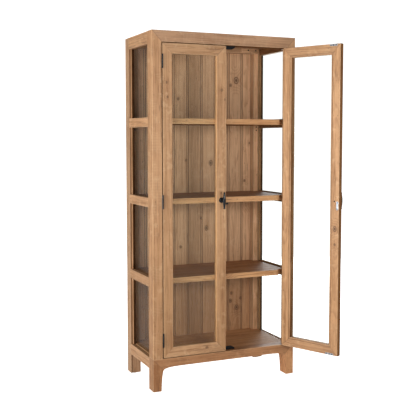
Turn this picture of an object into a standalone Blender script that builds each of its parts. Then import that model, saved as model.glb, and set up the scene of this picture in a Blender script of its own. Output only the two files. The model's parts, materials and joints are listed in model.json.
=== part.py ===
"""Glazed pantry cabinet: a mitred pine frame with glass sides, three shelves and two glazed doors.

The carcass is modelled with x = 0 on its centre line, y = 0 on its front face and z = 0 on the
floor, and the left door is shut while the right one stands open.  At the end everything is moved
together, so that the origin is the bottom centre of the box round the cabinet as it stands.
"""
import math

import bmesh
import bpy
from mathutils import Matrix, Vector

# ---- driving dimensions, in metres -------------------------------------------------------------
CABINET_WIDTH = 0.914
CABINET_DEPTH = 0.475
CABINET_HEIGHT = 2.057
FIT_GAP = 0.0003            # left between pieces that touch

POST_WIDTH = 0.0588         # front posts, seen from the front
FRONT_DEPTH = 0.077         # front posts, legs, apron and top rail, front to back
JAMB_DEPTH = 0.048          # the part of a front post that faces the door opening
REAR_POST_WIDTH = 0.065
REAR_POST_DEPTH = 0.0645
REAR_REBATE = 0.0125        # step in a rear post that the side glass stands in
TOP_RAIL_HEIGHT = 0.0645
BASE_TOP = 0.194            # top of the apron, level with the cabinet's floor panel

GLIDE_HEIGHT = 0.006
GLIDE_RADIUS = 0.015
LEG_FOOT_WIDTH = 0.049      # a front leg at the floor
LEG_HEAD_WIDTH = 0.0625     # a front leg where its mitre starts
LEG_HEAD_HEIGHT = 0.1285
APRON_UNDERSIDE = 0.144
LEG_BULGE = 0.0015          # how far a leg's inner edge bows out below its straight line
LEG_BULGE_HEIGHT = 0.065
LEG_HEAD_PULL = (0.0075, 0.0135)
APRON_CURVE_LENGTH = 0.175  # from the cabinet's side to where the apron's edge runs straight
APRON_CURVE_PULL = 0.065
APRON_CORNER_PULL = (0.008, 0.0115)

SIDE_RAIL_THICKNESS = 0.0262
SIDE_TOP_RAIL_HEIGHT = 0.069
SIDE_BOTTOM_RAIL_LOW = 0.127
SIDE_BOTTOM_RAIL_HIGH = 0.191
SIDE_MID_RAIL_HEIGHT = 0.054
SIDE_MID_RAIL_RISE = 0.005  # how far a middle rail stands above its shelf
POST_LIP = 0.0266           # thickness of the posts outside the side glass
SIDE_GLASS_OFFSET = 0.0269  # outer face of the side glass, in from the cabinet's side
SIDE_GLASS_THICKNESS = 0.004

SHELF_COUNT = 3
SHELF_PITCH = 0.4586
SHELF_THICKNESS = 0.0325
SHELF_FRONT = 0.0325        # y of a shelf's front edge, just behind the doors
SHELF_NOTCH_DEPTH = 0.028
SHELF_NOTCH_INSET = 0.089   # shelf's front corner, in from the cabinet's side
SHELF_SIDE_INSET = 0.033
PANEL_THICKNESS = 0.022
TOP_PANEL_THICKNESS = 0.0265

PLANK_PITCH = 0.095
PLANK_THICKNESS = 0.010
PLANK_REAR = 0.0022         # the planks' back, in from the cabinet's back
GROOVE_WIDTH = 0.006
GROOVE_DEPTH = 0.0025
REAR_TOP_RAIL_LOW = 2.000

DOOR_GAP = 0.0035           # round each door
DOOR_MEETING_GAP = 0.003    # between the two doors
DOOR_THICKNESS = 0.031
DOOR_MEMBER = 0.0595        # width of the stiles and rails
DOOR_LIP = 0.014            # wood in front of the glass
DOOR_REBATE = 0.012         # step that holds the glass and its bead
DOOR_GLASS_THICKNESS = 0.004
OPEN_ANGLE = 115.0          # how far the right door stands open, in degrees

HINGE_HEIGHTS = (0.302, 1.096, 1.886)
HINGE_LENGTH = 0.080
HINGE_RADIUS = 0.0046
HINGE_PROUD = 0.0045        # hinge axis in front of the cabinet's front face
HINGE_LEAF_THICKNESS = 0.0012
HINGE_LEAF_REACH = 0.022    # how far a leaf reaches back along the edge it is screwed to
HINGE_LEAF_OFFSET = 0.00025
HINGE_PIN_RADIUS = 0.0015
HINGE_BORE_RADIUS = 0.00161
HINGE_KNUCKLES = 5
HINGE_PLATE_CLEARANCE = 0.0005  # between the knuckles and the leaf's straight part

HANDLE_HEIGHT = 1.0955
HANDLE_LENGTH = 0.101
HANDLE_STANDOFF = 0.041     # door face to the middle of the bar
HANDLE_END_RADIUS = 0.0062  # the small ball at each end of the bar
HANDLE_NECK_RADIUS = 0.0054
HANDLE_WAIST_RADIUS = 0.0076
HANDLE_MIDDLE_RADIUS = 0.0088
HANDLE_BASE_RADIUS = 0.0162
HANDLE_BASE_EDGE = 0.002    # thickness of the base at its rim
HANDLE_BASE_DOME = 0.0065   # thickness of the base at the stem
HANDLE_STEM_RADIUS = 0.0050
HANDLE_SEGMENTS = 16

CATCH_LENGTH = 0.142
CATCH_DEPTH = 0.016
CATCH_HEIGHT = 0.019
CATCH_SLOPE = (0.020, 0.011)    # how far a catch's end slopes, along and in height
ANCHOR_LEFT = 0.301         # wall-anchor block, from the centre line
ANCHOR_RIGHT = 0.4245
ANCHOR_THICKNESS = 0.018

ARRIS = 0.0022              # rounding of the long wooden edges
POST_ARRIS = 0.003
FOOT_ARRIS = 0.005
SMALL_ARRIS = 0.0015
BEAD_ARRIS = 0.001
PANEL_ARRIS = 0.0008
MITRE_GAP = 0.0002          # each side of a mitre keeps this far from its plane

HALF_WIDTH = CABINET_WIDTH / 2
OPENING_HALF = HALF_WIDTH - POST_WIDTH
OPENING_TOP = CABINET_HEIGHT - TOP_RAIL_HEIGHT
REAR_POST_FRONT = CABINET_DEPTH - REAR_POST_DEPTH
REBATE_FRONT = REAR_POST_FRONT + REAR_REBATE
PLANK_FRONT = CABINET_DEPTH - PLANK_REAR - PLANK_THICKNESS
PIVOT_X = OPENING_HALF - DOOR_GAP / 2
DOOR_LOW = BASE_TOP + DOOR_GAP
DOOR_HIGH = OPENING_TOP - DOOR_GAP
SIDES = (("left", -1), ("right", 1))


# ---- scene, collections and materials ----------------------------------------------------------
def start_scene():
    for leftover in list(bpy.data.objects):
        bpy.data.objects.remove(leftover, do_unlink=True)
    parts = bpy.data.collections.new("pantry_cabinet")
    cutters = bpy.data.collections.new("cutters")
    bpy.context.scene.collection.children.link(parts)
    bpy.context.scene.collection.children.link(cutters)
    return parts, cutters


PARTS, CUTTERS = start_scene()
FRAME = bpy.data.objects.new("cabinet_frame", None)
PARTS.objects.link(FRAME)


def finish_for(name, colour, roughness, metallic=0.0, transmission=0.0):
    material = bpy.data.materials.new(name)
    material.use_nodes = True
    shader = material.node_tree.nodes["Principled BSDF"]
    shader.inputs["Base Color"].default_value = (*colour, 1.0)
    shader.inputs["Roughness"].default_value = roughness
    shader.inputs["Metallic"].default_value = metallic
    shader.inputs["Transmission Weight"].default_value = transmission
    material.diffuse_color = (*colour, 1.0)
    return material


COLOURS = {
    "frame_pine": ((0.50, 0.30, 0.16), 0.6),
    "base_pine": ((0.36, 0.18, 0.09), 0.6),
    "door_pine": ((0.55, 0.33, 0.18), 0.6),
    "shelf_pine": ((0.40, 0.22, 0.12), 0.5),
    "back_pine": ((0.30, 0.18, 0.10), 0.65),
    "glide_plastic": ((0.03, 0.03, 0.03), 0.5),
    "catch_plastic": ((0.02, 0.022, 0.025), 0.4),
}


def material_for(kind, name):
    if kind == "glass":
        return finish_for(name, (0.82, 0.88, 0.86), 0.02, 0.0, 0.9)
    if kind == "black_metal":
        return finish_for(name, (0.02, 0.022, 0.026), 0.38, 0.8)
    colour, roughness = COLOURS[kind]
    return finish_for(name, colour, roughness)


# ---- helpers -----------------------------------------------------------------------------------
def new_object(name, mesh, kind, location=(0, 0, 0), parent=None):
    obj = bpy.data.objects.new(name, mesh)
    obj.location = location
    obj.parent = parent or FRAME
    mesh.materials.clear()
    mesh.materials.append(material_for(kind, name + "_finish"))
    PARTS.objects.link(obj)
    return obj


def new_cutter(name, mesh, location=(0, 0, 0), parent=None):
    cutter = bpy.data.objects.new(name, mesh)
    cutter.location = location
    cutter.parent = parent or FRAME
    cutter.hide_render = True
    cutter.display_type = "WIRE"
    CUTTERS.objects.link(cutter)
    return cutter


def combine(obj, other, operation):
    step = obj.modifiers.new(operation.lower() + "_" + other.name, "BOOLEAN")
    step.operation = operation
    step.solver = "EXACT"
    step.object = other


def box_mesh(name, size):
    mesh = bpy.data.meshes.new(name)
    bm = bmesh.new()
    bmesh.ops.create_cube(bm, size=1.0)
    bmesh.ops.scale(bm, vec=size, verts=bm.verts)
    bm.to_mesh(mesh)
    bm.free()
    return mesh


def box_cutter(name, low, high, parent=None):
    low, high = Vector(low), Vector(high)
    return new_cutter(name, box_mesh(name, high - low), (low + high) / 2, parent)


def keep_behind(bm, point, normal):
    """Cut off everything on the normal's side of a plane, and close the cut."""
    whole = list(bm.verts) + list(bm.edges) + list(bm.faces)
    cut = bmesh.ops.bisect_plane(bm, geom=whole, plane_co=point, plane_no=normal, clear_outer=True)
    rim = [item for item in cut["geom_cut"] if isinstance(item, bmesh.types.BMEdge)]
    bmesh.ops.contextual_create(bm, geom=rim)


def round_edges(obj, radius, joints, segments=2):
    """Bevel every sharp edge, except those that lie in one of the joint planes."""
    bm = bmesh.new()
    bm.from_mesh(obj.data)
    weight = bm.edges.layers.float.new("bevel_weight_edge")
    for edge in bm.edges:
        in_joint = any(
            all(abs((vert.co - point).dot(normal)) < 1e-5 for vert in edge.verts)
            for point, normal in joints
        )
        sharp = edge.is_manifold and edge.calc_face_angle() > math.radians(40)
        edge[weight] = 1.0 if sharp and not in_joint else 0.0
    bm.to_mesh(obj.data)
    bm.free()
    bevel = obj.modifiers.new("rounded_edges", "BEVEL")
    bevel.limit_method = "WEIGHT"
    bevel.width = radius
    bevel.segments = segments
    obj.data.set_sharp_from_angle(angle=math.radians(50))


def board(name, low, high, kind, joints=(), cuts=(), radius=ARRIS, parent=None):
    """A wooden board between two corners.

    joints names the end faces that meet other pieces, such as "-z"; cuts are mitre planes.
    """
    low, high = Vector(low), Vector(high)
    centre = (low + high) / 2
    mesh = box_mesh(name, high - low)
    planes = []
    for joint in joints:
        axis = "xyz".index(joint[1])
        normal = Vector((0, 0, 0))
        normal[axis] = 1.0
        planes.append(((high if joint[0] == "+" else low) - centre, normal))
    if cuts:
        bm = bmesh.new()
        bm.from_mesh(mesh)
        for point, normal in cuts:
            local = Vector(point) - centre
            unit = Vector(normal).normalized()
            keep_behind(bm, local, unit)
            planes.append((local, unit))
        bmesh.ops.recalc_face_normals(bm, faces=bm.faces)
        bm.to_mesh(mesh)
        bm.free()
    obj = new_object(name, mesh, kind, centre, parent)
    round_edges(obj, radius, planes)
    return obj


def plate_from_outline(name, bezier, depth, front, kind):
    """A solid that starts at y = front, from a flat outline of Bezier points in x and z."""
    curve = bpy.data.curves.new(name, "CURVE")
    curve.dimensions = "2D"
    curve.fill_mode = "BOTH"
    curve.extrude = depth / 2
    curve.resolution_u = 5
    spline = curve.splines.new("BEZIER")
    spline.bezier_points.add(len(bezier) - 1)
    for point, (co, before, after) in zip(spline.bezier_points, bezier):
        point.handle_left_type = "FREE"
        point.handle_right_type = "FREE"
        point.co = (*co, 0)
        point.handle_left = (*before, 0)
        point.handle_right = (*after, 0)
    spline.use_cyclic_u = True
    outline = bpy.data.objects.new(name + "_outline", curve)
    PARTS.objects.link(outline)
    upright = Matrix.Rotation(math.pi / 2, 4, "X")
    outline.matrix_world = Matrix.Translation((0, front + depth / 2, 0)) @ upright
    bpy.context.view_layer.update()
    evaluated = outline.evaluated_get(bpy.context.evaluated_depsgraph_get())
    mesh = bpy.data.meshes.new_from_object(evaluated)
    mesh.transform(outline.matrix_world)
    bpy.data.objects.remove(outline)
    bm = bmesh.new()
    bm.from_mesh(mesh)
    bmesh.ops.remove_doubles(bm, verts=bm.verts, dist=0.00001)
    bmesh.ops.dissolve_degenerate(bm, dist=0.00001, edges=bm.edges)
    bmesh.ops.recalc_face_normals(bm, faces=bm.faces)
    bm.to_mesh(mesh)
    bm.free()
    return new_object(name, mesh, kind)


def corner(co):
    return (co, co, co)


def cylinder_mesh(name, radius, length, segments=12):
    """A cylinder along z, centred on its origin."""
    mesh = bpy.data.meshes.new(name)
    bm = bmesh.new()
    bmesh.ops.create_cone(
        bm, cap_ends=True, segments=segments, radius1=radius, radius2=radius, depth=length
    )
    bm.to_mesh(mesh)
    bm.free()
    return mesh


# ---- front frame -------------------------------------------------------------------------------
def mitre(inner, outer, side, above):
    """The plane through a frame corner, seen from the front; above says which side of it goes."""
    run = Vector((outer[0] - inner[0], 0, outer[1] - inner[1]))
    normal = Vector((-run.z, 0, run.x)).normalized()
    if normal.z < 0:
        normal = -normal
    if not above:
        normal = -normal
    point = Vector((inner[0], 0, inner[1])) - normal * MITRE_GAP
    return (point.x * side, point.y, point.z), (normal.x * side, normal.y, normal.z)


def make_front_posts():
    inner, outer = (OPENING_HALF, OPENING_TOP), (HALF_WIDTH, CABINET_HEIGHT)
    for label, side in SIDES:
        xs = sorted((side * OPENING_HALF, side * HALF_WIDTH))
        post = board(
            "front_post_" + label,
            (xs[0], 0, BASE_TOP + FIT_GAP),
            (xs[1], FRONT_DEPTH, CABINET_HEIGHT),
            "frame_pine",
            joints=("-z",),
            cuts=(mitre(inner, outer, side, above=True),),
            radius=POST_ARRIS,
        )
        xs = sorted((side * (OPENING_HALF - 0.01), side * (HALF_WIDTH - POST_LIP)))
        rebate = box_cutter(
            "front_post_rebate_" + label,
            (xs[0], JAMB_DEPTH, BASE_TOP - 0.01),
            (xs[1], FRONT_DEPTH + 0.01, OPENING_TOP - 0.0005),
        )
        combine(post, rebate, "DIFFERENCE")


def make_front_top_rail():
    inner, outer = (OPENING_HALF, OPENING_TOP), (HALF_WIDTH, CABINET_HEIGHT)
    board(
        "front_top_rail",
        (-HALF_WIDTH, 0, OPENING_TOP),
        (HALF_WIDTH, FRONT_DEPTH, CABINET_HEIGHT),
        "frame_pine",
        cuts=(mitre(inner, outer, 1, above=False), mitre(inner, outer, -1, above=False)),
    )


def leg_mitre_ends(side, lowered):
    """Inner and outer ends of the line where a leg meets the apron."""
    inner = (side * (HALF_WIDTH - LEG_HEAD_WIDTH), LEG_HEAD_HEIGHT - lowered)
    outer = (side * HALF_WIDTH, BASE_TOP - lowered)
    return inner, outer


def make_front_legs():
    for label, side in SIDES:
        inner, outer = leg_mitre_ends(side, 2 * MITRE_GAP)
        foot_outer = (side * HALF_WIDTH, GLIDE_HEIGHT)
        foot_inner = (side * (HALF_WIDTH - LEG_FOOT_WIDTH), GLIDE_HEIGHT)
        foot_pull = (side * (HALF_WIDTH - LEG_FOOT_WIDTH - LEG_BULGE), LEG_BULGE_HEIGHT)
        head_pull = (inner[0] + side * LEG_HEAD_PULL[0], inner[1] - LEG_HEAD_PULL[1])
        outline = [
            corner(outer),
            corner(foot_outer),
            (foot_inner, foot_inner, foot_pull),
            (inner, head_pull, inner),
        ]
        leg = plate_from_outline("front_leg_" + label, outline, FRONT_DEPTH, 0, "base_pine")
        normal = Vector((-(outer[1] - inner[1]), 0, outer[0] - inner[0])).normalized()
        round_edges(leg, FOOT_ARRIS, [(Vector((inner[0], 0, inner[1])), normal)])


def make_apron():
    outline = []
    planes = []
    for side in (-1, 1):
        inner, outer = leg_mitre_ends(side, 0.0)
        straight = (side * (HALF_WIDTH - APRON_CURVE_LENGTH), APRON_UNDERSIDE)
        pull = (straight[0] + side * APRON_CURVE_PULL, APRON_UNDERSIDE)
        rise = (inner[0] - side * APRON_CORNER_PULL[0], inner[1] + APRON_CORNER_PULL[1])
        ends = [corner(outer), (inner, inner, rise), (straight, pull, straight)]
        if side == 1:
            ends = [(co, after, before) for co, before, after in reversed(ends)]
        outline.extend(ends)
        normal = Vector((-(outer[1] - inner[1]), 0, outer[0] - inner[0])).normalized()
        planes.append((Vector((inner[0], 0, inner[1])), normal))
    apron = plate_from_outline("front_apron", outline, FRONT_DEPTH, 0, "base_pine")
    round_edges(apron, ARRIS, planes)


# ---- back and sides ----------------------------------------------------------------------------
def make_rear_posts():
    for label, side in SIDES:
        xs = sorted((side * (HALF_WIDTH - REAR_POST_WIDTH), side * HALF_WIDTH))
        post = board(
            "rear_post_" + label,
            (xs[0], REAR_POST_FRONT, GLIDE_HEIGHT),
            (xs[1], CABINET_DEPTH, CABINET_HEIGHT),
            "frame_pine",
            radius=POST_ARRIS,
        )
        xs = sorted((side * (HALF_WIDTH - REAR_POST_WIDTH - 0.01), side * (HALF_WIDTH - POST_LIP)))
        rebate = box_cutter(
            "rear_post_rebate_" + label,
            (xs[0], REAR_POST_FRONT - 0.01, SIDE_BOTTOM_RAIL_LOW),
            (xs[1], REBATE_FRONT, CABINET_HEIGHT + 0.01),
        )
        combine(post, rebate, "DIFFERENCE")


def make_rear_top_rail():
    reach = HALF_WIDTH - REAR_POST_WIDTH - FIT_GAP
    board(
        "rear_top_rail",
        (-reach, REBATE_FRONT + FIT_GAP, REAR_TOP_RAIL_LOW),
        (reach, PLANK_FRONT - FIT_GAP, CABINET_HEIGHT),
        "frame_pine",
        joints=("-x", "+x"),
    )


def shelf_top(number):
    return BASE_TOP + number * SHELF_PITCH


def make_side_rails():
    spans = [("bottom", SIDE_BOTTOM_RAIL_LOW, SIDE_BOTTOM_RAIL_HIGH)]
    for number in range(1, SHELF_COUNT + 1):
        high = shelf_top(number) + SIDE_MID_RAIL_RISE
        spans.append(("middle_%d" % number, high - SIDE_MID_RAIL_HEIGHT, high))
    spans.append(("top", CABINET_HEIGHT - SIDE_TOP_RAIL_HEIGHT, CABINET_HEIGHT))
    for label, side in SIDES:
        xs = sorted((side * (HALF_WIDTH - SIDE_RAIL_THICKNESS), side * HALF_WIDTH))
        for place, low, high in spans:
            board(
                "side_rail_%s_%s" % (place, label),
                (xs[0], FRONT_DEPTH + FIT_GAP, low),
                (xs[1], REAR_POST_FRONT - FIT_GAP, high),
                "frame_pine",
                joints=("-y", "+y"),
            )


def make_side_glass():
    for label, side in SIDES:
        outer = HALF_WIDTH - SIDE_GLASS_OFFSET
        xs = sorted((side * (outer - SIDE_GLASS_THICKNESS), side * outer))
        low = (xs[0], JAMB_DEPTH + 0.002, BASE_TOP + FIT_GAP)
        high = (xs[1], REBATE_FRONT - 0.0005, OPENING_TOP - 0.001)
        size = Vector(high) - Vector(low)
        centre = (Vector(low) + Vector(high)) / 2
        new_object("side_glass_" + label, box_mesh("side_glass", size), "glass", centre)


def make_back_panel():
    """Vertical planks with V-grooves on both faces, as one outline seen from above."""
    reach = HALF_WIDTH - REAR_POST_WIDTH - FIT_GAP
    low, high = SIDE_BOTTOM_RAIL_LOW, CABINET_HEIGHT - 0.0005
    panel = new_object(
        "back_panel",
        box_mesh("back_panel", (2 * reach, PLANK_THICKNESS, high - low)),
        "back_pine",
        (0, PLANK_FRONT + PLANK_THICKNESS / 2, (low + high) / 2),
    )
    joints_each_side = int(reach / PLANK_PITCH + 0.5)
    for number in range(2 * joints_each_side):
        x = (number - joints_each_side + 0.5) * PLANK_PITCH
        for face, label in ((-1, "front"), (1, "back")):
            groove = cylinder_mesh("groove", GROOVE_WIDTH / 2, high - low + 0.02, segments=4)
            cutter = new_cutter("groove_%s_%d" % (label, number), groove)
            centre = PLANK_FRONT if face < 0 else PLANK_FRONT + PLANK_THICKNESS
            cutter.location = (x, centre + face * (GROOVE_WIDTH / 2 - GROOVE_DEPTH), (low + high) / 2)
            combine(panel, cutter, "DIFFERENCE")


# ---- panels and shelves ------------------------------------------------------------------------
def notched_board(name, low, high, kind, notches):
    """A board with its corners cut out; each notch is (inset from the side, y from, y to)."""
    shelf = board(name, low, high, kind)
    for number, (inset, start, end) in enumerate(notches):
        for label, side in SIDES:
            xs = sorted((side * (HALF_WIDTH - inset), side * (HALF_WIDTH + 0.01)))
            cutter = box_cutter(
                "%s_notch_%d_%s" % (name, number, label),
                (xs[0], start, low[2] - 0.01),
                (xs[1], end, high[2] + 0.01),
            )
            combine(shelf, cutter, "DIFFERENCE")
    return shelf


def make_shelves():
    reach = HALF_WIDTH - SHELF_SIDE_INSET
    rear_notch = (REAR_POST_WIDTH + 0.0005, REBATE_FRONT - FIT_GAP, CABINET_DEPTH)
    front_notch = (SHELF_NOTCH_INSET, SHELF_FRONT - 0.01, SHELF_FRONT + SHELF_NOTCH_DEPTH)
    for number in range(1, SHELF_COUNT + 1):
        top = shelf_top(number)
        notched_board(
            "shelf_%d" % number,
            (-reach, SHELF_FRONT, top - SHELF_THICKNESS),
            (reach, PLANK_FRONT - FIT_GAP, top),
            "shelf_pine",
            (front_notch, rear_notch),
        )
    reach = HALF_WIDTH - POST_LIP - FIT_GAP
    notched_board(
        "floor_panel",
        (-reach, FRONT_DEPTH + FIT_GAP, BASE_TOP - PANEL_THICKNESS),
        (reach, PLANK_FRONT - FIT_GAP, BASE_TOP),
        "shelf_pine",
        (rear_notch,),
    )


def make_top_panel():
    reach = HALF_WIDTH - POST_LIP - FIT_GAP
    board(
        "top_panel",
        (-reach, FRONT_DEPTH + FIT_GAP, CABINET_HEIGHT - TOP_PANEL_THICKNESS),
        (reach, REBATE_FRONT - FIT_GAP, CABINET_HEIGHT - 0.0005),
        "frame_pine",
        radius=PANEL_ARRIS,
    )


# ---- small fittings of the carcass -------------------------------------------------------------
def make_catches():
    """Twin magnetic catches, one under the top rail and one on the floor panel."""
    front = SHELF_FRONT
    run, rise = CATCH_SLOPE
    for name, low, up in (
        ("top_catch", OPENING_TOP - FIT_GAP - CATCH_HEIGHT, -1),
        ("bottom_catch", BASE_TOP + FIT_GAP, 1),
    ):
        free_z = low + CATCH_HEIGHT if up > 0 else low
        slopes = []
        for side in (-1, 1):
            slopes.append(((side * (CATCH_LENGTH / 2 - run), 0, free_z), (side * rise, 0, up * run)))
        board(
            name,
            (-CATCH_LENGTH / 2, front, low),
            (CATCH_LENGTH / 2, front + CATCH_DEPTH, low + CATCH_HEIGHT),
            "catch_plastic",
            cuts=slopes,
            radius=SMALL_ARRIS,
        )


def make_anchor_block():
    board(
        "anchor_block",
        (ANCHOR_LEFT, REBATE_FRONT - ANCHOR_THICKNESS, REAR_TOP_RAIL_LOW + 0.0005),
        (ANCHOR_RIGHT, REBATE_FRONT - FIT_GAP, CABINET_HEIGHT - TOP_PANEL_THICKNESS - 0.001),
        "frame_pine",
        radius=SMALL_ARRIS,
    )


def make_glides():
    height = GLIDE_HEIGHT - FIT_GAP
    spots = (
        ("front", HALF_WIDTH - LEG_FOOT_WIDTH / 2, FRONT_DEPTH / 2),
        ("rear", HALF_WIDTH - REAR_POST_WIDTH / 2, CABINET_DEPTH - REAR_POST_DEPTH / 2),
    )
    for place, x, y in spots:
        for label, side in SIDES:
            mesh = cylinder_mesh("glide", GLIDE_RADIUS, height, segments=20)
            new_object("glide_%s_%s" % (place, label), mesh, "glide_plastic", (side * x, y, height / 2))


# ---- doors -------------------------------------------------------------------------------------
def make_pivot(label, side):
    pivot = bpy.data.objects.new("door_pivot_" + label, None)
    pivot.location = (side * PIVOT_X, -HINGE_PROUD, 0)
    pivot.parent = FRAME
    PARTS.objects.link(pivot)
    return pivot


def make_door(label, side, pivot):
    """A mitred, glazed door, placed from its hinge axis."""
    hinge_edge = -side * DOOR_GAP / 2
    free_edge = side * (DOOR_MEETING_GAP / 2) - side * PIVOT_X
    front = HINGE_PROUD
    xs = sorted((hinge_edge, free_edge))
    inner_x = (xs[0] + DOOR_MEMBER, xs[1] - DOOR_MEMBER)
    inner_z = (DOOR_LOW + DOOR_MEMBER, DOOR_HIGH - DOOR_MEMBER)
    rebate = box_cutter(
        "door_rebate_" + label,
        (inner_x[0] - DOOR_REBATE, front + DOOR_LIP, inner_z[0] - DOOR_REBATE),
        (inner_x[1] + DOOR_REBATE, front + DOOR_THICKNESS + 0.01, inner_z[1] + DOOR_REBATE),
        pivot,
    )

    def mitre_at(x_index, z_index, for_stile):
        """Plane through a door corner, facing away from the stile or from the rail."""
        out_x = -1 if x_index == 0 else 1
        out_z = -1 if z_index == 0 else 1
        normal = Vector((-out_x, 0, out_z)) if for_stile else Vector((out_x, 0, -out_z))
        normal.normalize()
        point = Vector((inner_x[x_index], 0, inner_z[z_index])) - normal * MITRE_GAP
        return tuple(point), tuple(normal)

    back = front + DOOR_THICKNESS
    for x_index in (0, 1):
        at_hinge = (x_index == 0) == (side < 0)
        spread = sorted((xs[x_index], inner_x[x_index]))
        stile = board(
            "door_%s_%s_stile" % (label, "hinge" if at_hinge else "free"),
            (spread[0], front, DOOR_LOW),
            (spread[1], back, DOOR_HIGH),
            "door_pine",
            cuts=(mitre_at(x_index, 0, True), mitre_at(x_index, 1, True)),
            parent=pivot,
        )
        combine(stile, rebate, "DIFFERENCE")
    for z_index, name in ((0, "bottom"), (1, "top")):
        spread = sorted(((DOOR_LOW, DOOR_HIGH)[z_index], inner_z[z_index]))
        rail = board(
            "door_%s_%s_rail" % (label, name),
            (xs[0], front, spread[0]),
            (xs[1], back, spread[1]),
            "door_pine",
            cuts=(mitre_at(0, z_index, False), mitre_at(1, z_index, False)),
            parent=pivot,
        )
        combine(rail, rebate, "DIFFERENCE")
    make_glazing(label, pivot, inner_x, inner_z, front)
    make_handle(label, pivot, (free_edge + inner_x[1 if side < 0 else 0]) / 2, front)


def make_glazing(label, pivot, inner_x, inner_z, front):
    lap = DOOR_REBATE - 0.001
    glass_low = Vector((inner_x[0] - lap, front + DOOR_LIP + FIT_GAP, inner_z[0] - lap))
    glass_high = Vector((inner_x[1] + lap, glass_low.y + DOOR_GLASS_THICKNESS, inner_z[1] + lap))
    new_object(
        "door_%s_glass" % label,
        box_mesh("door_glass", glass_high - glass_low),
        "glass",
        (glass_low + glass_high) / 2,
        pivot,
    )
    lap = DOOR_REBATE - FIT_GAP
    bead_low = Vector((inner_x[0] - lap, glass_high.y + FIT_GAP, inner_z[0] - lap))
    bead_high = Vector((inner_x[1] + lap, front + DOOR_THICKNESS - 0.0005, inner_z[1] + lap))
    bead = board(
        "door_%s_bead" % label, bead_low, bead_high, "door_pine", radius=BEAD_ARRIS, parent=pivot
    )
    hole = box_cutter(
        "bead_hole_" + label,
        (inner_x[0] + 0.0005, bead_low.y - 0.01, inner_z[0] + 0.0005),
        (inner_x[1] - 0.0005, bead_high.y + 0.01, inner_z[1] - 0.0005),
        pivot,
    )
    combine(bead, hole, "DIFFERENCE")


def turned_mesh(name, profile, segments):
    """Turn a profile of (radius, z), listed top to bottom, about z."""
    curve_mesh = bpy.data.meshes.new(name + "_profile")
    edges = [(index, index + 1) for index in range(len(profile) - 1)]
    curve_mesh.from_pydata([(radius, 0, z) for radius, z in profile], edges, [])
    lathe = bpy.data.objects.new(name + "_lathe", curve_mesh)
    CUTTERS.objects.link(lathe)
    screw = lathe.modifiers.new("turn", "SCREW")
    screw.steps = segments
    screw.render_steps = segments
    screw.use_merge_vertices = True
    screw.merge_threshold = 0.00005
    bpy.context.view_layer.update()
    evaluated = lathe.evaluated_get(bpy.context.evaluated_depsgraph_get())
    mesh = bpy.data.meshes.new_from_object(evaluated)
    bpy.data.objects.remove(lathe)
    return mesh


def bar_profile():
    """A spindle, fullest in the middle, with a small ball at each end."""
    ball = HANDLE_END_RADIUS
    centre = HANDLE_LENGTH / 2 - ball
    neck = centre - ball
    upper = []
    for turn in (0.0, 0.5, 1.0, 1.5, 2.0):
        upper.append((ball * math.sin(turn), centre + ball * math.cos(turn)))
    upper.append((HANDLE_NECK_RADIUS, neck))
    upper.append((HANDLE_WAIST_RADIUS, neck * 0.6))
    upper.append((HANDLE_MIDDLE_RADIUS, neck * 0.2))
    return upper + [(radius, -z) for radius, z in reversed(upper)]


def stem_profile():
    """The stem and its domed base, from the door's face out to the middle of the bar."""
    face = HANDLE_STANDOFF - FIT_GAP
    dome = (HANDLE_BASE_RADIUS + HANDLE_STEM_RADIUS) / 2
    return [
        (0.0, face),
        (HANDLE_BASE_RADIUS, face),
        (HANDLE_BASE_RADIUS, face - HANDLE_BASE_EDGE),
        (dome, face - (HANDLE_BASE_EDGE + 2 * HANDLE_BASE_DOME) / 3),
        (HANDLE_STEM_RADIUS, face - HANDLE_BASE_DOME),
        (HANDLE_STEM_RADIUS, 0.0),
        (0.0, 0.0),
    ]


def make_handle(label, pivot, x, front):
    """A bar on one stem, with a round base on the door's face."""
    place = (x, front - HANDLE_STANDOFF, HANDLE_HEIGHT)
    bar_mesh = turned_mesh("handle_bar", bar_profile(), HANDLE_SEGMENTS)
    handle = new_object("handle_" + label, bar_mesh, "black_metal", place, pivot)
    stem_mesh = turned_mesh("handle_stem", stem_profile(), HANDLE_SEGMENTS)
    stem = new_cutter("handle_stem_" + label, stem_mesh, place, pivot)
    stem.rotation_euler = (-math.pi / 2, 0, 0)
    combine(handle, stem, "UNION")


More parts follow.
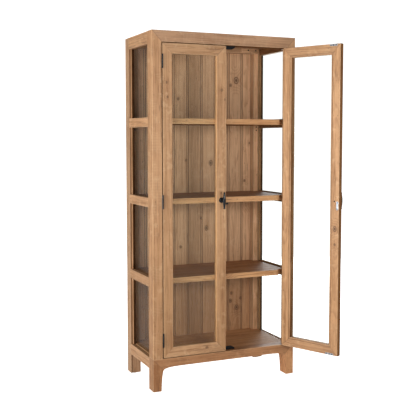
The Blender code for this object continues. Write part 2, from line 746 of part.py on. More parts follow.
# ---- hinges ------------------------------------------------------------------------------------
def make_leaf(name, kind_of_leaf, plate_side, height, parent, location):
    """One hinge leaf with its knuckles, centred on the hinge axis at the middle of its height."""
    knuckle = HINGE_LENGTH / HINGE_KNUCKLES
    near = HINGE_LEAF_OFFSET
    far = near + HINGE_LEAF_THICKNESS
    middle_x = plate_side * (near + far) / 2
    plate_front = HINGE_RADIUS + HINGE_PLATE_CLEARANCE
    plate_size = (HINGE_LEAF_THICKNESS, HINGE_LEAF_REACH - plate_front, HINGE_LENGTH)
    leaf = new_object(name, box_mesh(name, plate_size), "black_metal", parent=parent)
    plate_middle = (plate_front + HINGE_LEAF_REACH) / 2
    leaf.data.transform(Matrix.Translation((middle_x, plate_middle, 0)))
    leaf.location = (location[0], location[1], height)
    first_knuckle = 0 if kind_of_leaf == "frame" else 1
    finger_near = HINGE_RADIUS / 2
    finger_far = plate_front + HINGE_PLATE_CLEARANCE
    extras = []
    for number in range(first_knuckle, HINGE_KNUCKLES, 2):
        z = (number - (HINGE_KNUCKLES - 1) / 2) * knuckle
        length = knuckle - FIT_GAP
        barrel = cylinder_mesh("knuckle", HINGE_RADIUS, length)
        barrel.transform(Matrix.Translation((0, 0, z)))
        extras.append(barrel)
        finger = box_mesh("finger", (HINGE_LEAF_THICKNESS, finger_far - finger_near, length))
        finger.transform(Matrix.Translation((middle_x, (finger_near + finger_far) / 2, z)))
        extras.append(finger)
    if kind_of_leaf == "frame":
        extras.append(cylinder_mesh("pin", HINGE_PIN_RADIUS, HINGE_LENGTH - 0.001))
    for number, mesh in enumerate(extras):
        extra = new_cutter("%s_joined_%d" % (name, number), mesh, leaf.location, parent)
        combine(leaf, extra, "UNION")
    if kind_of_leaf == "door":
        bore_mesh = cylinder_mesh("bore", HINGE_BORE_RADIUS, HINGE_LENGTH)
        bore = new_cutter(name + "_bore", bore_mesh, leaf.location, parent)
        combine(leaf, bore, "DIFFERENCE")


def make_hinges(label, side, pivot):
    for number, height in enumerate(HINGE_HEIGHTS, start=1):
        name = "hinge_%s_%d" % (label, number)
        make_leaf(name + "_frame_leaf", "frame", side, height, FRAME, (side * PIVOT_X, -HINGE_PROUD))
        make_leaf(name + "_door_leaf", "door", -side, height, pivot, (0, 0))


# ---- assembly ----------------------------------------------------------------------------------
def put_origin_under_centre():
    """Move the frame so that the origin is the bottom centre of the box round all the parts."""
    bpy.context.view_layer.update()
    depsgraph = bpy.context.evaluated_depsgraph_get()
    xs, ys = [], []
    for obj in PARTS.objects:
        if obj.type != "MESH":
            continue
        evaluated = obj.evaluated_get(depsgraph)
        for vert in evaluated.data.vertices:
            place = evaluated.matrix_world @ vert.co
            xs.append(place.x)
            ys.append(place.y)
    FRAME.location = (-(min(xs) + max(xs)) / 2, -(min(ys) + max(ys)) / 2, 0)


def build():
    make_front_posts()
    make_front_top_rail()
    make_front_legs()
    make_apron()
    make_rear_posts()
    make_rear_top_rail()
    make_side_rails()
    make_side_glass()
    make_back_panel()
    make_shelves()
    make_top_panel()
    make_catches()
    make_anchor_block()
    make_glides()
    for label, side in SIDES:
        pivot = make_pivot(label, side)
        make_door(label, side, pivot)
        make_hinges(label, side, pivot)
        if label == "right":
            pivot.rotation_euler = (0, 0, math.radians(OPEN_ANGLE))
    put_origin_under_centre()


build()
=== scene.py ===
"""Looks of the glazed pantry cabinet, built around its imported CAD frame.

Every wooden board gets its own pine material, whose grain runs along that board.  The tongued
back planks, the glazing beads, the side stops, the strike plates, the latch and the screws are
pieces made here.
"""

import json
import math

import bmesh
import bpy
from mathutils import Matrix, Vector


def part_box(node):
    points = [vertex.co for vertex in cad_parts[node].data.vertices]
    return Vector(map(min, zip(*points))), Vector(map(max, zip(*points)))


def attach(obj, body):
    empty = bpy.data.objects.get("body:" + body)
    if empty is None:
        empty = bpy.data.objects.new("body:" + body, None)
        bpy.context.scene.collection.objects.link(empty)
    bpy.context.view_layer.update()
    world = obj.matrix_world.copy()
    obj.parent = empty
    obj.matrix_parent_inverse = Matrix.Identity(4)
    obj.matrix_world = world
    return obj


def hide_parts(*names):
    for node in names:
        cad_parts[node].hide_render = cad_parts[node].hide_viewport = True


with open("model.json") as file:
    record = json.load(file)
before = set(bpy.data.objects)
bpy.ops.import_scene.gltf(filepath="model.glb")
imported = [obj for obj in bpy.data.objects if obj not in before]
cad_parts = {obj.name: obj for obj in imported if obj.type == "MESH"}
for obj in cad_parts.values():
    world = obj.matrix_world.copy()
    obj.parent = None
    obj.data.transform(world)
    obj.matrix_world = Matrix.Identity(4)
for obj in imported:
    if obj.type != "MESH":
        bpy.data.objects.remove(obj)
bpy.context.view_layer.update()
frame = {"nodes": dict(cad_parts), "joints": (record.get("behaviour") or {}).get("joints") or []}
bpy.context.scene.view_settings.view_transform = "Standard"


# ---- where things are --------------------------------------------------------------------------
def corners_in(node, place):
    """Lowest and highest corner of a CAD node, measured along the axes of place."""
    back = place.inverted()
    points = [back @ vert.co for vert in frame["nodes"][node].data.vertices]
    low = Vector([min(point[axis] for point in points) for axis in range(3)])
    high = Vector([max(point[axis] for point in points) for axis in range(3)])
    return low, high


def door_place(side):
    """The matrix that takes a door from its closed pose, about its hinge axis, to rest."""
    joint = next(j for j in frame["joints"] if j["name"] == side + "_door_hinge")
    axis = Vector(joint["axis"])
    closed = joint["range_deg"][0]
    turn = Matrix.Rotation(-math.radians(closed), 4, axis)
    origin = Vector(joint["pos_m"])
    return Matrix.Translation((origin.x, origin.y, 0)) @ turn


STANDING = Matrix.Identity(4)
PLACES = {"cabinet": STANDING, "left_door": door_place("left"), "right_door": door_place("right")}


def body_of(node):
    """The moving body that a CAD node belongs to."""
    for side in ("left", "right"):
        if node.startswith("door_" + side) or node == "handle_" + side:
            return side + "_door"
        if node.startswith("hinge_" + side) and node.endswith("door_leaf"):
            return side + "_door"
    return "cabinet"


def board_axes(low, high, grain=None):
    """Centre, axes and half sizes of a board: x across its face, y through it, z along the grain."""
    size = high - low
    if grain is None:
        grain = max(range(3), key=lambda axis: size[axis])
    wide, thin = sorted((axis for axis in range(3) if axis != grain), key=lambda axis: -size[axis])
    along = Vector([1.0 if axis == grain else 0.0 for axis in range(3)])
    across = Vector([1.0 if axis == wide else 0.0 for axis in range(3)])
    through = along.cross(across)
    turn = Matrix((across, through, along)).transposed().to_4x4()
    half = Vector((size[wide], size[thin], size[grain])) / 2
    return Matrix.Translation((low + high) / 2) @ turn, half


# ---- node trees --------------------------------------------------------------------------------
class Tree:
    """Short ways to build one material's nodes."""

    def __init__(self, name):
        self.material = bpy.data.materials.new(name)
        self.material.use_nodes = True
        self.nodes = self.material.node_tree.nodes
        self.links = self.material.node_tree.links
        self.nodes.clear()

    def add(self, kind, values=(), **settings):
        node = self.nodes.new("ShaderNode" + kind)
        for key, value in settings.items():
            setattr(node, key, value)
        for key, value in dict(values).items():
            self.put(value, node.inputs[key])
        return node

    def put(self, value, socket):
        if isinstance(value, bpy.types.NodeSocket):
            self.links.new(value, socket)
        else:
            socket.default_value = value

    def math(self, operation, a, b=0.0, c=0.0, clamp=False):
        node = self.add("Math", {0: a, 1: b, 2: c}, operation=operation, use_clamp=clamp)
        return node.outputs[0]

    def vector(self, operation, a, b=(0, 0, 0)):
        node = self.add("VectorMath", {0: a, 1: b}, operation=operation)
        return node.outputs["Value" if operation in ("LENGTH", "DOT_PRODUCT") else "Vector"]

    def split(self, vector):
        node = self.add("SeparateXYZ", {0: vector})
        return node.outputs

    def noise(self, vector, scale=1.0, detail=2.0, roughness=0.5, output="Fac"):
        node = self.add("TexNoise", {"Vector": vector, "Scale": scale, "Detail": detail,
                                     "Roughness": roughness})
        return node.outputs[output]

    def ease(self, value, start, end, low=0.0, high=1.0):
        """value from start to end becomes low to high, smoothly."""
        node = self.add("MapRange", {0: value, 1: start, 2: end, 3: low, 4: high},
                        interpolation_type="SMOOTHSTEP")
        return node.outputs[0]

    def blend(self, share, first, second, kind="MIX"):
        node = self.add("Mix", data_type="RGBA", blend_type=kind, clamp_factor=True)
        self.put(share, node.inputs[0])
        self.put(first, node.inputs[6])
        self.put(second, node.inputs[7])
        return node.outputs[2]

    def bump(self, height, distance, strength=1.0):
        node = self.add("Bump", {"Height": height, "Distance": distance, "Strength": strength})
        return node.outputs[0]

    def finish(self, shader):
        output = self.add("OutputMaterial")
        self.links.new(shader, output.inputs["Surface"])
        return self.material


# ---- pine --------------------------------------------------------------------------------------
TONES = {                   # light wood, dark wood, worn edge
    "front": ((0.56, 0.308, 0.152), (0.31, 0.142, 0.057), (0.74, 0.49, 0.285)),
    "top": ((0.52, 0.295, 0.162), (0.29, 0.145, 0.073), (0.70, 0.46, 0.28)),
    "base": ((0.43, 0.204, 0.086), (0.225, 0.090, 0.033), (0.62, 0.35, 0.17)),
    "door": ((0.545, 0.305, 0.150), (0.31, 0.145, 0.060), (0.73, 0.485, 0.28)),
    "shelf": ((0.64, 0.345, 0.155), (0.38, 0.170, 0.065), (0.76, 0.47, 0.24)),
    "back": ((0.65, 0.390, 0.218), (0.40, 0.207, 0.100), (0.73, 0.475, 0.285)),
}
TONES["floor"] = TONES["shelf"]
DIRT = (0.14, 0.07, 0.035, 1.0)
KNOT_BROWN = (0.10, 0.045, 0.022, 1.0)

# Painted shade and painted light, and one tone shift, multiply the colour of whole faces; painted
# shade also darkens a board's lower end.
GAP_SHADE = (0.17, 0.13, 0.10, 1.0)         # painted shade on the faces deep in the gaps round the doors
MEETING_EDGE_SHADE = (0.46, 0.39, 0.33, 1.0)        # painted shade on the doors' meeting edges
RECESS_SHADE = (0.40, 0.33, 0.28, 1.0)      # painted shade on undersides, and on the right rails' inner sides
REVEAL_SHADE = (0.55, 0.46, 0.39, 1.0)      # painted shade on the right rails' tops, and beside the glass by the hinges
LIT_REVEAL = (1.35, 1.30, 1.20, 1.0)       # painted light beside the glass by the handles
STOP_SHADE = (0.16, 0.13, 0.11, 1.0)        # painted shade on the front faces of the side stops
LEFT_LEG_SHADE = (0.70, 0.57, 0.45, 1.0)        # painted shade on the left leg's front and inner side
LEG_SIDE_SHADE = (0.80, 0.74, 0.68, 1.0)    # painted shade on its outer side
LEG_STAIN = (1.0, 0.87, 0.74, 1.0)          # the right leg's front and inner side
TOP_SHADE = (0.40, 0.30, 0.21, 1.0)         # painted shade on the tops of the upper shelves
LOW_TOP_SHADE = (0.58, 0.445, 0.31, 1.0)    # painted shade on the top of the lowest shelf
# painted shade on the floor panel's top
FLOOR_SHADE = (0.86, 0.80, 0.76, 1.0)
PLANK_FOOT_SHADE = (0.72, 0.64, 0.56, 1.0)        # painted shade at the lower ends of the back planks
FRONT_FOOT_SHADE = (0.88, 0.85, 0.80, 1.0)  # painted shade at the lower ends of the front posts and the stiles
# painted shades that also take the shine off their faces
MATT_SHADES = (GAP_SHADE, MEETING_EDGE_SHADE, RECESS_SHADE, REVEAL_SHADE, STOP_SHADE)
FACE_COSINES = (0.70, 0.92)                 # from where a normal counts as facing a direction

SHINE = 0.35                # the shader's specular level, of bare wood
TOP_SHINE = 0.20            # added to the shine of the shelves' and the floor's tops
TOP_ROUGHENING = {"shelf": 0.04, "floor": 0.08}     # how much rougher those tops are
RING_SPACING = 0.0052
RING_DRIFT = 0.07           # how far the growth rings wander sideways
PITH_DEPTH = 0.045          # least distance from a board's middle to the tree's middle
SWIRL_RINGS = 3.0           # by how many rings the grain bends round a knot
SAW_SPACING = 0.0085
SEAM_HALF_WIDTHS = (0.0030, 0.0010)     # where a seam's dirt starts and where it is at its full
EDGE_WEAR = (0.0060, 0.0036)            # the same for the pale wear along a board's edges
GRAIN_NOISES = {            # noise cells per metre across, through and along a board; detail
    "streaks": ((110.0, 110.0, 3.2), 3.0),
    "broad": ((26.0, 26.0, 1.8), 2.0),
    "fibres": ((420.0, 420.0, 16.0), 2.0),
    "checks": ((190.0, 190.0, 9.0), 1.0),
    "specks": ((130.0, 130.0, 45.0), 1.0),
}
DARKENING = (               # a noise, two values of it, and the dark wood that it adds at each
    ("streaks", 0.40, 0.64, -0.06, 0.40),
    ("broad", 0.38, 0.62, -0.16, 0.26),
    ("fibres", 0.30, 0.70, -0.12, 0.14),
    ("stains", 0.38, 0.66, -0.12, 0.22),
)
CALMED_NOISES = ("broad", "stains")     # weaker on boards of even colour
KNOT_CELLS = (8.0, 8.0, 4.2)            # places for a knot per metre across, through and along
KNOTLESS_SHARE = 0.80
KNOT_SQUASH = 0.76                      # a knot's width over its length


def seeded(seed, spread, step):
    """A number between -spread and spread that looks random and depends only on seed and step."""
    wave = math.sin(seed * 12.9898 + step * 78.233) * 43758.5453
    return (2 * (wave - math.floor(wave)) - 1) * spread


def board_point(tree, point, place):
    """The surface point along the board's own axes, which place turns into the mesh's."""
    if place is None:
        return point
    mapping = tree.add("Mapping", {"Vector": point, "Location": place.to_translation(),
                                   "Rotation": place.to_euler()}, vector_type="TEXTURE")
    return mapping.outputs[0]


def knot_fields(tree, point, shifted, knots):
    """How much of a knot, of the grain swirl round one, and of its lighter ring there is.

    Distances are in cells for the scattered knots, and in radii for the knots that have a place.
    """
    stretched = tree.vector("MULTIPLY", shifted, KNOT_CELLS)
    cells = tree.add("TexVoronoi", {"Vector": stretched, "Scale": 1.0})
    chosen = tree.math("GREATER_THAN", tree.split(cells.outputs["Color"])[0], KNOTLESS_SHARE)
    away = cells.outputs["Distance"]
    knot = tree.math("MULTIPLY", tree.ease(away, 0.075, 0.045), chosen)
    swirl = tree.math("MULTIPLY", tree.ease(away, 0.42, 0.04), chosen)
    heart = 0.0
    for across, along, radius in knots:
        offset = tree.vector("SUBTRACT", point, (across, 0.0, along))
        flat = tree.vector("MULTIPLY", offset, (1 / radius, 0.0, KNOT_SQUASH / radius))
        radii = tree.vector("LENGTH", flat)
        knot = tree.math("MAXIMUM", knot, tree.ease(radii, 1.12, 0.84))
        swirl = tree.math("MAXIMUM", swirl, tree.ease(radii, 4.2, 0.7))
        ring = tree.math("MULTIPLY", tree.ease(radii, 0.30, 0.50), tree.ease(radii, 0.86, 0.66))
        heart = tree.math("MAXIMUM", heart, ring)
    return knot, swirl, heart


def late_wood(tree, point, slow, swirl, seed):
    """How much dark late wood there is, in rings about a pith outside the board."""
    drift = tree.vector("MULTIPLY", tree.vector("SUBTRACT", slow, (0.5, 0.5, 0.5)),
                        (RING_DRIFT, RING_DRIFT, 0.0))
    pith = (seeded(seed, 0.07, 4), PITH_DEPTH + abs(seeded(seed, 0.06, 5)), 0.0)
    from_pith = tree.vector("ADD", tree.vector("ADD", point, drift), pith)
    radius = tree.vector("LENGTH", tree.vector("MULTIPLY", from_pith, (1, 1, 0)))
    rings = tree.math("ADD", tree.math("DIVIDE", radius, RING_SPACING),
                      tree.math("MULTIPLY", swirl, SWIRL_RINGS))
    phase = tree.math("FRACT", rings)
    return tree.math("MULTIPLY", tree.ease(phase, 0.35, 0.86), tree.ease(phase, 1.0, 0.90))


def dark_share(tree, late, noises, swirl, calm):
    """How far the colour is from the light wood to the dark."""
    share = tree.math("MULTIPLY", late, 0.34)
    for noise, start, end, low, high in DARKENING:
        strength = calm if noise in CALMED_NOISES else 1.0
        more = tree.ease(noises[noise], start, end, low * strength, high * strength)
        share = tree.math("ADD", share, more)
    return tree.math("ADD", share, tree.math("MULTIPLY", swirl, 0.22), clamp=True)


def saw_marks(tree, point, shifted, slow):
    """How much of a saw's ripple there is, left in patches."""
    bent = tree.vector("ADD", point, tree.vector("MULTIPLY", slow, (0, 0, 0.012)))
    angle = tree.math("MULTIPLY", tree.split(bent)[2], 2 * math.pi / SAW_SPACING)
    patch = tree.ease(tree.noise(shifted, scale=11.0, detail=2.0), 0.46, 0.60)
    return tree.math("MULTIPLY", tree.ease(tree.math("SINE", angle), 0.0, 0.9), patch)


def edge_distance(tree, point, half):
    """Distance from a surface point to the nearest edge of the board's box."""
    inward = tree.vector("SUBTRACT", tuple(half), tree.vector("ABSOLUTE", point))
    x, y, z = tree.split(inward)[:3]
    pairs = [tree.math("MAXIMUM", first, second) for first, second in ((x, y), (y, z), (x, z))]
    return tree.math("MINIMUM", tree.math("MINIMUM", pairs[0], pairs[1]), pairs[2])


def edge_wear(tree, point, shifted, half):
    """How much of the pale, ragged wear along a board's edges there is."""
    noise = tree.noise(shifted, scale=60.0)
    ragged = tree.math("MULTIPLY_ADD", noise, 0.005, edge_distance(tree, point, half))
    return tree.ease(ragged, *EDGE_WEAR)


def tint_and_shade_faces(tree, colour, shine, normal, faces):
    """Shift the tone of whole faces, or paint shade or light on them, and take the shine off the faces
    with matt painted shade.
    """
    for direction, tint_or_shade in faces:
        toward = tree.vector("DOT_PRODUCT", normal, tuple(direction))
        turned = tree.ease(toward, *FACE_COSINES)
        colour = tree.blend(turned, colour, tint_or_shade, "MULTIPLY")
        if tint_or_shade in MATT_SHADES:
            shine = tree.math("MULTIPLY", tree.math("SUBTRACT", 1.0, turned), shine)
    return colour, shine


def dirty_seams(tree, colour, point, seams, dirt):
    """Dirt along planes that cut the board, each given by a point on it and its normal."""
    for spot, normal in seams:
        offset = tree.vector("SUBTRACT", point, spot)
        off = tree.math("ABSOLUTE", tree.vector("DOT_PRODUCT", offset, normal))
        colour = tree.blend(tree.ease(off, *SEAM_HALF_WIDTHS, 0.0, dirt), colour, DIRT)
    return colour


def pine_relief(tree, late, fibres, saw, knot, marks):
    """The bump of late wood, fibres and saw marks that stand up, and knots and checks that don't."""
    height = tree.math("MULTIPLY", late, 0.35)
    height = tree.math("ADD", height, tree.math("MULTIPLY", fibres, 0.7))
    height = tree.math("ADD", height, saw)
    height = tree.math("SUBTRACT", height, tree.math("MULTIPLY", knot, 0.8))
    height = tree.math("SUBTRACT", height, marks)
    return tree.bump(height, 0.0006, 0.9)


def pine(name, half, tone, seed, place=None, knots=(), sawn=0.5, tint=0.0, calm=1.0, faces=(),
         seams=(), dirt=0.5, foot=None):
    """Reclaimed pine.  place is the board's matrix, when the mesh isn't in the board's own axes.

    sawn is how rough-sawn the board is, tint how much lighter than its tone, and calm how uneven
    its colour; faces shifts the tone of whole faces, by direction, or paints shade or light on them;
    seams are planes, in the board's axes, where there is dirt; foot is where along the board its
    painted shade starts, where it stops, and the factor it ends with.
    """
    tree = Tree(name)
    coordinates = tree.add("TexCoord").outputs
    normal = coordinates["Normal"]
    point = board_point(tree, coordinates["Object"], place)
    light, dark, worn = (tuple(c * (1.0 + tint) for c in colour) + (1.0,) for colour in TONES[tone])
    shifted = tree.vector("ADD", point, tuple(seeded(seed, 40.0, step) for step in (1, 2, 3)))

    noises = {"stains": tree.noise(shifted, scale=9.0, detail=4.0, roughness=0.6)}
    for noise, (cells, detail) in GRAIN_NOISES.items():
        noises[noise] = tree.noise(tree.vector("MULTIPLY", shifted, cells), detail=detail)
    slow = tree.noise(tree.vector("MULTIPLY", shifted, (7.0, 7.0, 1.3)), output="Color")
    knot, swirl, heart = knot_fields(tree, point, shifted, knots)
    late = late_wood(tree, point, slow, swirl, seed)
    saw = saw_marks(tree, point, shifted, slow)
    rubs = tree.ease(tree.noise(shifted, scale=23.0, detail=3.0), 0.56, 0.70, 0.0, 0.30)
    marks = tree.math("MAXIMUM", tree.ease(noises["checks"], 0.66, 0.74),
                      tree.ease(noises["specks"], 0.70, 0.78))

    colour = tree.blend(dark_share(tree, late, noises, swirl, calm), light, dark)
    colour = tree.blend(tree.math("MULTIPLY", saw, 0.34 * sawn), colour, worn)
    colour = tree.blend(rubs, colour, worn)
    colour = tree.blend(tree.math("MULTIPLY", marks, 0.55), colour, DIRT)
    colour = tree.blend(tree.math("MULTIPLY", knot, 0.86), colour, KNOT_BROWN)
    colour = tree.blend(tree.math("MULTIPLY", heart, 0.45), colour, light)
    wear = edge_wear(tree, point, shifted, half)
    colour = tree.blend(tree.math("MULTIPLY", wear, 0.50), colour, worn)
    # tone shifts, painted shade and painted light on whole faces, by direction
    colour, shine = tint_and_shade_faces(tree, colour, SHINE, normal, faces)
    # painted shade: darker towards the board's lower end
    if foot:
        start, end, tint_or_shade = foot
        low = tree.ease(tree.split(point)[2], start, end)
        colour = tree.blend(low, colour, tint_or_shade, "MULTIPLY")
    colour = dirty_seams(tree, colour, point, seams, dirt)

    rough = tree.math("ADD", tree.ease(noises["streaks"], 0.3, 0.7, 0.46, 0.62),
                      tree.math("MULTIPLY", late, -0.06))
    if tone in TOP_ROUGHENING:
        upward = tree.ease(tree.split(normal)[2], *FACE_COSINES)
        rough = tree.math("MULTIPLY_ADD", upward, TOP_ROUGHENING[tone], rough)
        shine = tree.math("MULTIPLY_ADD", upward, TOP_SHINE, shine)
    relief = pine_relief(tree, late, noises["fibres"], tree.math("MULTIPLY", saw, 0.9 * sawn), knot,
                         marks)
    shader = tree.add("BsdfPrincipled", {"Base Color": colour, "Roughness": rough,
                                         "Specular IOR Level": shine, "Normal": relief})
    return tree.finish(shader.outputs[0])


# ---- glass, metal and plastic ------------------------------------------------------------------
def clear_glass(name):
    """Thin clear glass, more mirror-like at grazing angles, with a faint film on it."""
    tree = Tree(name)
    facing = tree.add("LayerWeight", {"Blend": 0.5}).outputs["Facing"]
    gloss = tree.math("MULTIPLY_ADD", tree.math("POWER", facing, 4.0), 0.14, 0.008)
    through = tree.add("BsdfTransparent", {"Color": (0.95, 0.965, 0.955, 1)})
    mirror = tree.add("BsdfGlossy", {"Color": (0.9, 0.93, 0.95, 1), "Roughness": 0.02})
    mix = tree.add("MixShader", {0: gloss, 1: through.outputs[0], 2: mirror.outputs[0]})
    cloud = tree.noise(tree.add("TexCoord").outputs["Object"], scale=3.0, detail=3.0)
    film = tree.ease(cloud, 0.3, 0.7, 0.004, 0.009)
    dust = tree.add("BsdfDiffuse", {"Color": (0.80, 0.74, 0.67, 1)})
    mix = tree.add("MixShader", {0: film, 1: mix.outputs[0], 2: dust.outputs[0]})
    return tree.finish(mix.outputs[0])


def painted_iron(name):
    """Black hardware, slightly uneven, with greyer patches."""
    tree = Tree(name)
    point = tree.add("TexCoord").outputs["Object"]
    grains = tree.noise(point, scale=420.0, detail=2.0)
    clouds = tree.noise(point, scale=60.0, detail=2.0)
    worn = tree.ease(clouds, 0.45, 0.75)
    colour = tree.blend(worn, (0.005, 0.006, 0.007, 1), (0.014, 0.016, 0.019, 1))
    rough = tree.ease(grains, 0.3, 0.7, 0.20, 0.32)
    shader = tree.add("BsdfPrincipled", {"Base Color": colour, "Roughness": rough,
                                         "Specular IOR Level": 0.26,
                                         "Normal": tree.bump(grains, 0.0002, 0.4)})
    return tree.finish(shader.outputs[0])


def zinc_steel(name):
    """Bright plated steel with a brushed surface."""
    tree = Tree(name)
    point = tree.add("TexCoord").outputs["Object"]
    brushed = tree.noise(tree.vector("MULTIPLY", point, (900.0, 900.0, 60.0)), detail=2.0)
    colour = tree.blend(tree.ease(brushed, 0.3, 0.7), (0.34, 0.37, 0.41, 1), (0.56, 0.59, 0.63, 1))
    rough = tree.ease(brushed, 0.3, 0.7, 0.22, 0.40)
    shader = tree.add("BsdfPrincipled", {"Base Color": colour, "Roughness": rough, "Metallic": 1.0,
                                         "Normal": tree.bump(brushed, 0.0001, 0.3)})
    return tree.finish(shader.outputs[0])


def black_plastic(name):
    """Matt black plastic with a fine texture."""
    tree = Tree(name)
    point = tree.add("TexCoord").outputs["Object"]
    grains = tree.noise(point, scale=900.0, detail=1.0)
    colour = tree.blend(grains, (0.004, 0.004, 0.005, 1), (0.012, 0.012, 0.014, 1))
    rough = tree.ease(grains, 0.3, 0.7, 0.38, 0.52)
    shader = tree.add("BsdfPrincipled", {"Base Color": colour, "Roughness": rough,
                                         "Specular IOR Level": 0.22,
                                         "Normal": tree.bump(grains, 0.0002, 0.5)})
    return tree.finish(shader.outputs[0])


# ---- finishes of the CAD pieces ----------------------------------------------------------------
WOOD_TONES = (              # start of a node's name, tone, how rough-sawn it is
    ("front_post", "front", 1.0),
    ("front_top_rail", "top", 1.0),
    ("front_leg", "front", 0.5),
    ("front_apron", "base", 0.5),
    ("rear_post", "back", 0.6),
    ("rear_top_rail", "back", 0.4),
    ("side_rail", "front", 0.6),
    ("top_panel", "front", 0.6),
    ("anchor_block", "back", 0.3),
    ("shelf", "shelf", 0.3),
    ("floor_panel", "floor", 0.3),
    ("door", "door", 0.35),
)
TINTS = {                   # how much lighter a board is than its tone; the others' come by chance
    "front_leg_left": 0.0,
    "front_leg_right": 0.0,
    "front_apron": 0.0,
    "rear_post_left": -0.18,
    "rear_post_right": 0.30,
    "rear_top_rail": -0.10,
    "anchor_block": 0.12,
    "side_rail_middle_2_left": 0.04,
    "side_rail_middle_3_left": 0.14,
    "door_left_free_stile": 0.0,
    "door_left_top_rail": -0.08,
    "door_right_hinge_stile": 0.17,
    "door_right_free_stile": 0.15,
    "door_right_top_rail": 0.0,
    "door_right_bottom_rail": 0.05,
}
CHANCE_TINT = 0.05
BOARD_CALM = 0.65
UPRIGHT_FOOT = (0.0, -0.6, FRONT_FOOT_SHADE)    # where the painted shade at the lower ends of front posts and stiles starts and stops
KNOTS = {                   # by board: place in its body's own x and z, and radius
    "door_left_hinge_stile": ((0.0264, 1.769, 0.006), (0.0314, 1.688, 0.006)),
    "door_left_free_stile": ((0.3674, 1.734, 0.007), (0.3644, 1.138, 0.006)),
    "door_left_bottom_rail": ((0.2724, 0.231, 0.007),),
    "door_right_free_stile": ((-0.3686, 0.9375, 0.013), (-0.3698, 0.8469, 0.007)),
}
USUAL_DIRT = 0.35
SEAM_DIRT = {               # how much dirt is in a board's mitres or grooves
    "front_post_left": 0.22,
    "front_top_rail": 0.25,
    "rear_post_left": 0.50,
    "rear_post_right": 0.55,
    "door_left_hinge_stile": 0.06,
    "door_left_free_stile": 0.50,
    "door_left_top_rail": 0.20,
    "door_left_bottom_rail": 0.15,
    "door_right_hinge_stile": 0.25,
    "door_right_free_stile": 0.25,
    "door_right_top_rail": 0.25,
    "door_right_bottom_rail": 0.20,
}
GROOVES = {                 # upright cracks in a board, as shares of its width from the left
    "rear_post_left": (0.085, 0.145, 0.20),
    "rear_post_right": (0.02, 0.58, 0.76),
}
UP, DOWN, LEFT, RIGHT, FORWARD = (Vector(axis) for axis in (
    (0, 0, 1), (0, 0, -1), (-1, 0, 0), (1, 0, 0), (0, -1, 0)))
LEG_MITRE_LOW = 0.1285      # height at which a leg's mitre meets its inner edge
NEAR = 0.001                # how close two edges are that meet


def tinted_and_shaded_faces(node):
    """Directions of a board's faces with a tone shift, painted shade or painted light, in its body's
    axes, each with its colour factor.
    """
    # the right leg gets a tone shift; every other face here gets painted shade, and the handle side of
    # the free stiles painted light
    inward = RIGHT if "left" in node else LEFT
    if node.startswith("door") and "hinge_stile" in node:
        return [(-inward, GAP_SHADE), (inward, REVEAL_SHADE)]
    if node.startswith("door") and "free_stile" in node:
        return [(inward, MEETING_EDGE_SHADE), (-inward, LIT_REVEAL)]
    if node.startswith("door") and "rail" in node:
        return [(UP if "top" in node else DOWN, GAP_SHADE)]
    if node.startswith("front_post"):
        return [(inward, GAP_SHADE)] if "left" in node else []
    if node == "front_leg_left":
        return [(FORWARD, LEFT_LEG_SHADE), (inward, LEFT_LEG_SHADE), (-inward, LEG_SIDE_SHADE)]
    if node == "front_leg_right":
        return [(FORWARD, LEG_STAIN), (inward, LEG_STAIN)]
    if node == "front_top_rail":
        return [(DOWN, RECESS_SHADE)]
    if node.startswith("side_rail") and "right" in node:
        return [(UP, REVEAL_SHADE), (inward, RECESS_SHADE)]
    if node.startswith("shelf"):
        return [(UP, LOW_TOP_SHADE if node == "shelf_1" else TOP_SHADE), (DOWN, RECESS_SHADE)]
    if node == "floor_panel":
        return [(UP, FLOOR_SHADE)]
    return []


def meets(value, low, high):
    """Whether value is between low and high, or very near."""
    return low - NEAR < value < high + NEAR


def door_mitres(node):
    """The mitres at a door board's ends: a corner and the run from it, in the door's x and z."""
    body = body_of(node)
    side = body.removesuffix("_door")
    top_low, top_high = corners_in("door_%s_top_rail" % side, PLACES[body])
    bottom_low = corners_in("door_%s_bottom_rail" % side, PLACES[body])[0]
    own_low, own_high = corners_in(node, PLACES[body])
    lines = []
    for x, inward in ((top_low.x, 1), (top_high.x, -1)):
        for z, onward in ((bottom_low.z, 1), (top_high.z, -1)):
            if meets(x, own_low.x, own_high.x) and meets(z, own_low.z, own_high.z):
                lines.append(((x, z), (inward, onward)))
    return lines


def carcass_mitres(node):
    """The mitres at a front board's ends: a corner and the run from it, in x and z."""
    rail_low, rail_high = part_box("front_top_rail")
    post_low, post_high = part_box("front_post_left")
    leg_low, leg_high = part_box("front_leg_left")
    apron_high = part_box("front_apron")[1]
    own_low, own_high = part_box(node)
    lines = []
    for x, inward in ((rail_low.x, 1), (rail_high.x, -1)):
        if not meets(x, own_low.x, own_high.x):
            continue
        if node.startswith(("front_post", "front_top_rail")):
            run = (inward * (post_high.x - post_low.x), rail_low.z - rail_high.z)
            lines.append(((x, rail_high.z), run))
        if node.startswith(("front_leg", "front_apron")):
            run = (inward * (leg_high.x - leg_low.x), LEG_MITRE_LOW - apron_high.z)
            lines.append(((x, apron_high.z), run))
    return lines


def board_seams(node, low, high, inside):
    """Planes, in the board's axes, where a mitre or a groove holds dirt."""
    lines = []
    if node.startswith("front_"):
        lines = carcass_mitres(node)
    elif node.startswith("door") and ("stile" in node or "rail" in node):
        lines = door_mitres(node)
    seams = []
    for (x, z), (run_x, run_z) in lines:
        normal = inside.to_3x3() @ Vector((-run_z, 0, run_x)).normalized()
        seams.append((tuple(inside @ Vector((x, 0, z))), tuple(normal)))
    for share in GROOVES.get(node, ()):
        spot = Vector((low.x + share * (high.x - low.x), 0, 0))
        seams.append((tuple(inside @ spot), tuple(inside.to_3x3() @ RIGHT)))
    return seams


